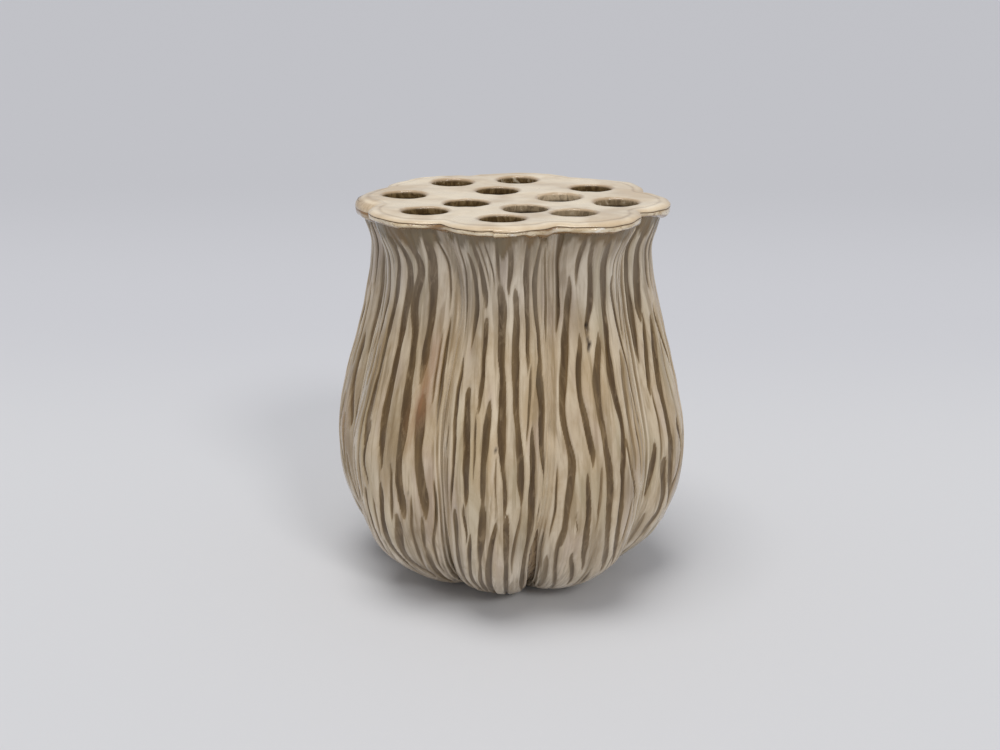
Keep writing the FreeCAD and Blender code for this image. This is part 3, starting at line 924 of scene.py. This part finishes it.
class Paint:
    """A material's node tree, built up by short calls."""

    def __init__(self, name):
        self.material = bpy.data.materials.new(name)
        self.material.use_nodes = True
        self.tree = self.material.node_tree
        self.shader = self.tree.nodes["Principled BSDF"]

    def node(self, kind, settings=None, **inputs):
        made = self.tree.nodes.new(kind)
        for key, value in (settings or {}).items():
            setattr(made, key, value)
        for key, value in inputs.items():
            self.feed(made.inputs[key.replace("_", " ")], value)
        return made

    def feed(self, socket, value):
        if isinstance(value, bpy.types.NodeSocket):
            self.tree.links.new(value, socket)
        else:
            socket.default_value = value

    def field(self, name):
        return self.node("ShaderNodeAttribute", {"attribute_name": name}).outputs["Fac"]

    def place(self, around, up):
        """The place round and up the wall, in millimetres, stretched by a factor each way."""
        spot = self.node("ShaderNodeAttribute", {"attribute_name": "place"}).outputs["Vector"]
        return self.node("ShaderNodeMapping", Vector=spot, Scale=[around, up, 1]).outputs[0]

    def solid(self, *stretch):
        """The place in space, in millimetres, stretched by a factor each way."""
        spot = self.node("ShaderNodeTexCoord").outputs["Object"]
        return self.node("ShaderNodeMapping", Vector=spot, Scale=[s / MM for s in stretch]).outputs[0]

    def noise(self, spot, detail=3.0, roughness=0.55, distortion=0.0):
        made = self.node("ShaderNodeTexNoise", Vector=spot, Detail=detail, Roughness=roughness)
        made.inputs["Scale"].default_value = 1.0
        made.inputs["Distortion"].default_value = distortion
        return made.outputs["Fac"]

    def math(self, operation, a, b=0.0, clamp=False):
        made = self.tree.nodes.new("ShaderNodeMath")
        made.operation = operation
        made.use_clamp = clamp
        self.feed(made.inputs[0], a)
        self.feed(made.inputs[1], b)
        return made.outputs[0]

    def times(self, a, b):
        return self.math("MULTIPLY", a, b)

    def stir(self, value, noise, amount):
        """The value, pushed up and down by a noise."""
        return self.math("ADD", value, self.times(self.math("SUBTRACT", noise, 0.5), amount))

    def span(self, value, low, high, out_low=0.0, out_high=1.0):
        """A smooth step of value from low to high."""
        made = self.node("ShaderNodeMapRange", {"interpolation_type": "SMOOTHSTEP"}, Value=value)
        ends = {"From Min": low, "From Max": high, "To Min": out_low, "To Max": out_high}
        for key, number in ends.items():
            made.inputs[key].default_value = number
        return made.outputs[0]

    def mix(self, share, a, b):
        made = self.node("ShaderNodeMix", {"data_type": "RGBA"})
        self.feed(made.inputs[0], share)
        self.feed(made.inputs[6], a)
        self.feed(made.inputs[7], b)
        return made.outputs[2]

    def lay(self, colour, layers):
        """Colours laid on one after another, each up to a share of 1 as a noise goes from low to high."""
        for noise, low, high, most, over in layers:
            colour = self.mix(self.span(noise, low, high, 0.0, most), colour, over)
        return colour

    def near(self, spot, close, far):
        """1 within `close` millimetres of a spot, fading to 0 at `far`."""
        made = self.node("ShaderNodeVectorMath", {"operation": "DISTANCE"})
        self.feed(made.inputs[0], self.solid(1, 1, 1))
        self.feed(made.inputs[1], spot)
        return self.span(made.outputs["Value"], close, far, 1.0, 0.0)

    def bump(self, height, distance):
        made = self.node("ShaderNodeBump", Height=height, Distance=distance * MM, Strength=1.0)
        return made.outputs["Normal"]

    def set(self, **inputs):
        for key, value in inputs.items():
            self.feed(self.shader.inputs[key.replace("_", " ")], value)


CREAM = shade(223, 205, 177)
CREAM_PALE = shade(230, 217, 196)
GLINT = shade(253, 248, 238)
TAN = shade(194, 170, 134)
GROOVE_DARK = shade(86, 63, 30)
GROOVE_MID = shade(120, 96, 60)
GROOVE_LIGHT = shade(156, 132, 96)
GREY_BROWN = shade(118, 102, 74)
RUST = shade(160, 114, 76)
RIM_CREAM = shade(238, 221, 190)
TOP_CREAM = shade(255, 239, 211)
STAIN_AND_SHADE = shade(146, 112, 72)


def carved_glaze():
    """Cream glaze broken to brown in the strokes and thinned over edges; painted highlight on crease lips,
    painted shade low in creases.
    """
    p = Paint("carved_glaze")
    streaks = p.noise(p.place(0.62, 0.07), 4.0, 0.5, 0.8)
    strips = p.noise(p.place(0.38, 0.03), 3.0, 0.6, 0.4)
    fine = p.noise(p.place(2.0, 0.3), 3.0, 0.6)
    clouds = p.noise(p.place(0.13, 0.05), 4.0, 0.6, 0.5)
    tinge = p.noise(p.place(0.10, 0.03), 2.0, 0.5)
    specks = p.noise(p.place(1.3, 1.3), 2.0, 0.5)
    nicks = p.noise(p.place(0.45, 0.14), 4.0, 0.6, 0.8)
    cut, deep = p.field("cut"), p.field("deep")
    ragged = p.stir(cut, nicks, 0.35)
    in_cut = p.span(ragged, 0.40, 0.60)
    ridge = p.lay(CREAM, [
        (clouds, 0.35, 0.68, 1.0, TAN),
        (strips, 0.48, 0.64, 0.7, GROOVE_LIGHT),
        (streaks, 0.52, 0.74, 0.4, GROOVE_LIGHT),
        (fine, 0.50, 0.30, 0.10, CREAM_PALE),
        (tinge, 0.50, 0.66, 0.3, shade(188, 176, 142)),
        (tinge, 0.46, 0.32, 0.4, shade(198, 176, 160)),
        (specks, 0.72, 0.82, 0.5, GROOVE_MID),
    ])
    brown = p.math("MULTIPLY", p.field("brown"), p.span(streaks, 0.25, 0.6, 0.4, 1.1), clamp=True)
    ridge = p.mix(brown, ridge, GROOVE_MID)
    ridge = p.mix(p.span(cut, 0.02, 0.3, 0.0, 0.25), ridge, GROOVE_LIGHT)
    dark = p.stir(deep, streaks, 0.9)
    groove = p.lay(GROOVE_LIGHT, [
        (dark, 0.15, 0.60, 1.0, GROOVE_MID),
        (dark, 0.55, 1.05, 1.0, GROOVE_DARK),
        (nicks, 0.50, 0.72, 0.6, GROOVE_LIGHT),
        (clouds, 0.50, 0.75, 0.40, GREY_BROWN),
    ])
    colour = p.mix(in_cut, ridge, groove)
    colour = p.mix(p.times(p.field("rust"), p.span(streaks, 0.3, 0.7, 0.3, 1.0)), colour, RUST)
    height = p.node("ShaderNodeSeparateXYZ", Vector=p.solid(0, 0, 1)).outputs["Z"]
    greyer = p.math("ADD", p.span(height, 80, 102), p.span(height, 36, 12))
    colour = p.node("ShaderNodeHueSaturation", Saturation=0.78, Fac=greyer, Color=colour).outputs["Color"]
    # Painted highlight: the raised fine lips by the creases are painted near white
    colour = p.mix(p.math("MULTIPLY", p.field("lip"), 1.35, clamp=True), colour, shade(250, 236, 212))
    colour = p.mix(p.times(p.field("line"), 0.85), colour, GROOVE_MID)
    # Painted shade low in the creases
    colour = p.mix(p.times(p.field("valley"), 0.45), colour, GROOVE_DARK)
    under_rim = p.mix(p.span(clouds, 0.40, 0.65), GREY_BROWN, GROOVE_MID)
    colour = p.mix(p.times(p.field("band"), 0.92), colour, under_rim)
    colour = p.mix(p.field("pits"), colour, shade(54, 38, 22))
    relief = p.math("ADD", p.times(streaks, 0.5), p.times(fine, 0.2))
    p.set(Base_Color=colour, Normal=p.bump(relief, 0.14))
    p.set(Roughness=p.span(p.math("ADD", streaks, p.times(in_cut, 0.3)), 0.3, 1.0, 0.24, 0.5))
    p.set(Coat_Weight=0.30, Coat_Roughness=0.07, IOR=1.45)
    return p.material


def inside_glaze():
    """Thin brown glaze that has run down the inside."""
    p = Paint("inside_glaze")
    runs = p.noise(p.solid(0.5, 0.5, 0.06), 4.0, 0.6, 0.4)
    colour = p.mix(p.span(runs, 0.35, 0.7), shade(96, 76, 54), shade(158, 134, 102))
    p.set(Base_Color=colour, Roughness=p.span(runs, 0.2, 0.8, 0.18, 0.4), Normal=p.bump(runs, 0.3))
    p.set(Coat_Weight=0.4, Coat_Roughness=0.1)
    return p.material


def bare_clay():
    """Fired clay that was wiped clean where the vase stands."""
    p = Paint("bare_clay")
    grain = p.noise(p.solid(1.6, 1.6, 1.6), 6.0, 0.65)
    clouds = p.noise(p.solid(0.09, 0.09, 0.09), 3.0, 0.5)
    colour = p.mix(p.span(clouds, 0.35, 0.7), shade(196, 172, 140), shade(172, 144, 110))
    colour = p.mix(p.span(grain, 0.62, 0.74, 0.0, 0.7), colour, shade(96, 74, 54))
    p.set(Base_Color=colour, Roughness=p.span(grain, 0.3, 0.7, 0.7, 0.9), Normal=p.bump(grain, 0.12))
    return p.material


def rim_glaze():
    """Pale glaze on the coil, stained brown along the seam, with painted shade along its lower edge and
    under the left roll, and painted glints.
    """
    p = Paint("rim_glaze")
    clouds = p.noise(p.place(0.16, 0.5), 4.0, 0.6, 0.4)
    fine = p.noise(p.place(0.7, 1.6), 4.0, 0.6, 0.5)
    colour = p.mix(p.span(clouds, 0.40, 0.66), RIM_CREAM, shade(200, 174, 132))
    colour = p.mix(p.span(fine, 0.54, 0.70, 0.0, 0.8), colour, shade(150, 118, 78))
    # The seam field: the seam's brown, brown at two notches, and painted shade along the coil's lower edge
    # and under the left roll
    stain_and_shade = p.stir(p.field("seam"), fine, 0.5)
    colour = p.mix(p.span(stain_and_shade, 0.12, 0.75), colour, STAIN_AND_SHADE)
    # Painted glints: near-white spots on the coil
    for x, y, spread in RIM_GLINTS:
        patchy = p.span(fine, 0.46, 0.60, 0.0, 0.8)
        glint = p.times(p.near((x, y, 116), spread / 2, spread), patchy)
        colour = p.mix(glint, colour, GLINT)
    p.set(Base_Color=colour, Roughness=p.span(fine, 0.3, 0.8, 0.16, 0.30), Normal=p.bump(fine, 0.15))
    p.set(Coat_Weight=0.8, Coat_Roughness=0.06, IOR=1.5)
    return p.material


def top_glaze():
    """Pale glossy glaze on the slab, tan round each hole and streaked brown down its wall."""
    p = Paint("top_glaze")
    clouds = p.noise(p.solid(0.07, 0.07, 0.07), 4.0, 0.55, 0.3)
    grain = p.noise(p.solid(0.9, 0.9, 0.9), 3.0, 0.6)
    runs = p.noise(p.solid(0.42, 0.42, 0.20), 4.0, 0.65, 1.6)
    colour = p.mix(p.span(clouds, 0.38, 0.68), TOP_CREAM, shade(226, 204, 172))
    colour = p.mix(p.span(grain, 0.64, 0.78, 0.0, 0.12), colour, shade(190, 164, 128))
    to_hole, to_rim = p.field("to_hole"), p.field("to_rim")
    halo = p.span(p.math("ADD", to_hole, p.times(grain, 0.8)), 2.0, 0.3, 0.0, 0.75)
    colour = p.mix(halo, colour, shade(160, 128, 90))
    edge = p.span(p.math("ADD", to_rim, p.times(grain, 1.2)), 2.6, 0.6, 0.0, 0.45)
    colour = p.mix(edge, colour, shade(190, 162, 122))
    bevel = p.times(p.field("groove"), p.span(clouds, 0.3, 0.6, 0.10, 0.45))
    colour = p.mix(bevel, colour, STAIN_AND_SHADE)
    wall = p.times(p.span(p.field("depth"), 0.35, 1.3), p.span(to_hole, 0.8, 0.2))
    hole = p.mix(p.span(runs, 0.36, 0.62), shade(96, 74, 44), shade(146, 120, 80))
    # Painted highlights: pale streaks down the walls of some holes
    lit = p.noise(p.solid(0.045, 0.045, 0.045), 1.0, 0.5)
    light = p.times(p.span(runs, 0.56, 0.66), p.span(lit, 0.48, 0.60, 0.10, 1.0))
    hole = p.mix(light, hole, shade(214, 198, 172))
    for k, share in PALE_HOLES.items():
        near = p.near((*hole_centres()[k], TOP), 7.6, 8.6)
        pale = p.times(near, p.span(runs, 0.34, 0.56, share / 2, share))
        hole = p.mix(pale, hole, shade(244, 220, 184))
    colour = p.mix(wall, colour, hole)
    # The seam field: the seam's brown, and painted shade on the left roll
    stain_and_shade = p.stir(p.field("seam"), grain, 0.5)
    colour = p.mix(p.span(stain_and_shade, 0.12, 0.75), colour, STAIN_AND_SHADE)
    relief = p.math("ADD", p.times(grain, 0.35), p.times(wall, runs))
    p.set(Base_Color=colour, Roughness=p.span(clouds, 0.3, 0.8, 0.26, 0.36), Normal=p.bump(relief, 0.07))
    p.set(Coat_Weight=0.45, Coat_Roughness=0.06, IOR=1.45)
    return p.material


def floor_paint():
    """A pale sweep of card, painted greyer further behind the vase as painted shade for the dimmer
    backdrop.
    """
    p = Paint("floor_paint")
    spot = p.node("ShaderNodeTexCoord").outputs["Object"]
    back = p.node("ShaderNodeSeparateXYZ", Vector=spot).outputs["Y"]
    # Painted shade: the floor turns greyer further behind the vase
    near = p.span(back, 0.05, 0.30)
    far = p.span(back, 0.26, 0.75)
    colour = p.mix(near, shade(214, 215, 218), shade(205, 206, 211))
    colour = p.mix(far, colour, shade(195, 196, 201))
    p.set(Base_Color=colour, Roughness=0.75)
    p.set(Specular_IOR_Level=0.2)
    return p.material


# ---------------------------------------------------------------- stage


CAMERA_BEARING = -84.6
CAMERA_AWAY = 376.5
CAMERA_HEIGHT = 185.0
CAMERA_TILT = 18.1
CAMERA_YAW = 0.48
CAMERA_ROLL = 0.2
CAMERA_LENS = 45.58
# How far the floor reaches each way, in metres
FLOOR_REACH = 60.0


def make_floor():
    mesh = bpy.data.meshes.new("floor")
    corners = [(x * FLOOR_REACH, y * FLOOR_REACH, 0) for x, y in ((-1, -1), (1, -1), (1, 1), (-1, 1))]
    mesh.from_pydata(corners, [], [(0, 1, 2, 3)])
    floor = put("floor", mesh)
    floor.rotation_euler.z = math.radians(CAMERA_BEARING + 90)
    mesh.materials.append(floor_paint())


def make_camera():
    data = bpy.data.cameras.new("camera")
    data.sensor_width = 36.0
    data.lens = CAMERA_LENS
    camera = put("camera", data)
    bearing = math.radians(CAMERA_BEARING)
    away = CAMERA_AWAY * MM
    camera.location = (away * math.cos(bearing), away * math.sin(bearing), CAMERA_HEIGHT * MM)
    turn = math.radians(CAMERA_BEARING + 90 + CAMERA_YAW)
    aim = Euler((math.radians(90 - CAMERA_TILT), 0, turn)).to_matrix()
    roll = Euler((0, 0, math.radians(CAMERA_ROLL))).to_matrix()
    camera.rotation_euler = (aim @ roll).to_euler()
    bpy.context.scene.camera = camera


def add_sun(name, toward, strength, spread, colour):
    """A broad, even light that shines from a direction. Its spread is in degrees."""
    data = bpy.data.lights.new(name, "SUN")
    data.angle = math.radians(spread)
    data.energy = strength
    data.color = colour
    put(name, data).rotation_euler = Vector(toward).to_track_quat("Z", "Y").to_euler()


def make_lights():
    world = bpy.data.worlds.new("world")
    world.use_nodes = True
    sky = world.node_tree.nodes["Background"].inputs
    sky["Color"].default_value = (0.92, 0.94, 1.0, 1)
    sky["Strength"].default_value = 0.38
    bpy.context.scene.world = world
    add_sun("overhead", (-0.10, -0.15, 1.0), 1.60, 34, (1.0, 0.98, 0.95))
    add_sun("front", (0.70, -1.0, 0.95), 0.72, 14, (1.0, 0.99, 0.97))
    bpy.context.scene.view_settings.view_transform = "Standard"


strokes = plan_strokes()
carved, inside = carved_glaze(), inside_glaze()
make_base(strokes, carved, inside)
make_body(strokes, carved, inside)
make_rim()
make_top()
make_floor()
make_camera()
make_lights()
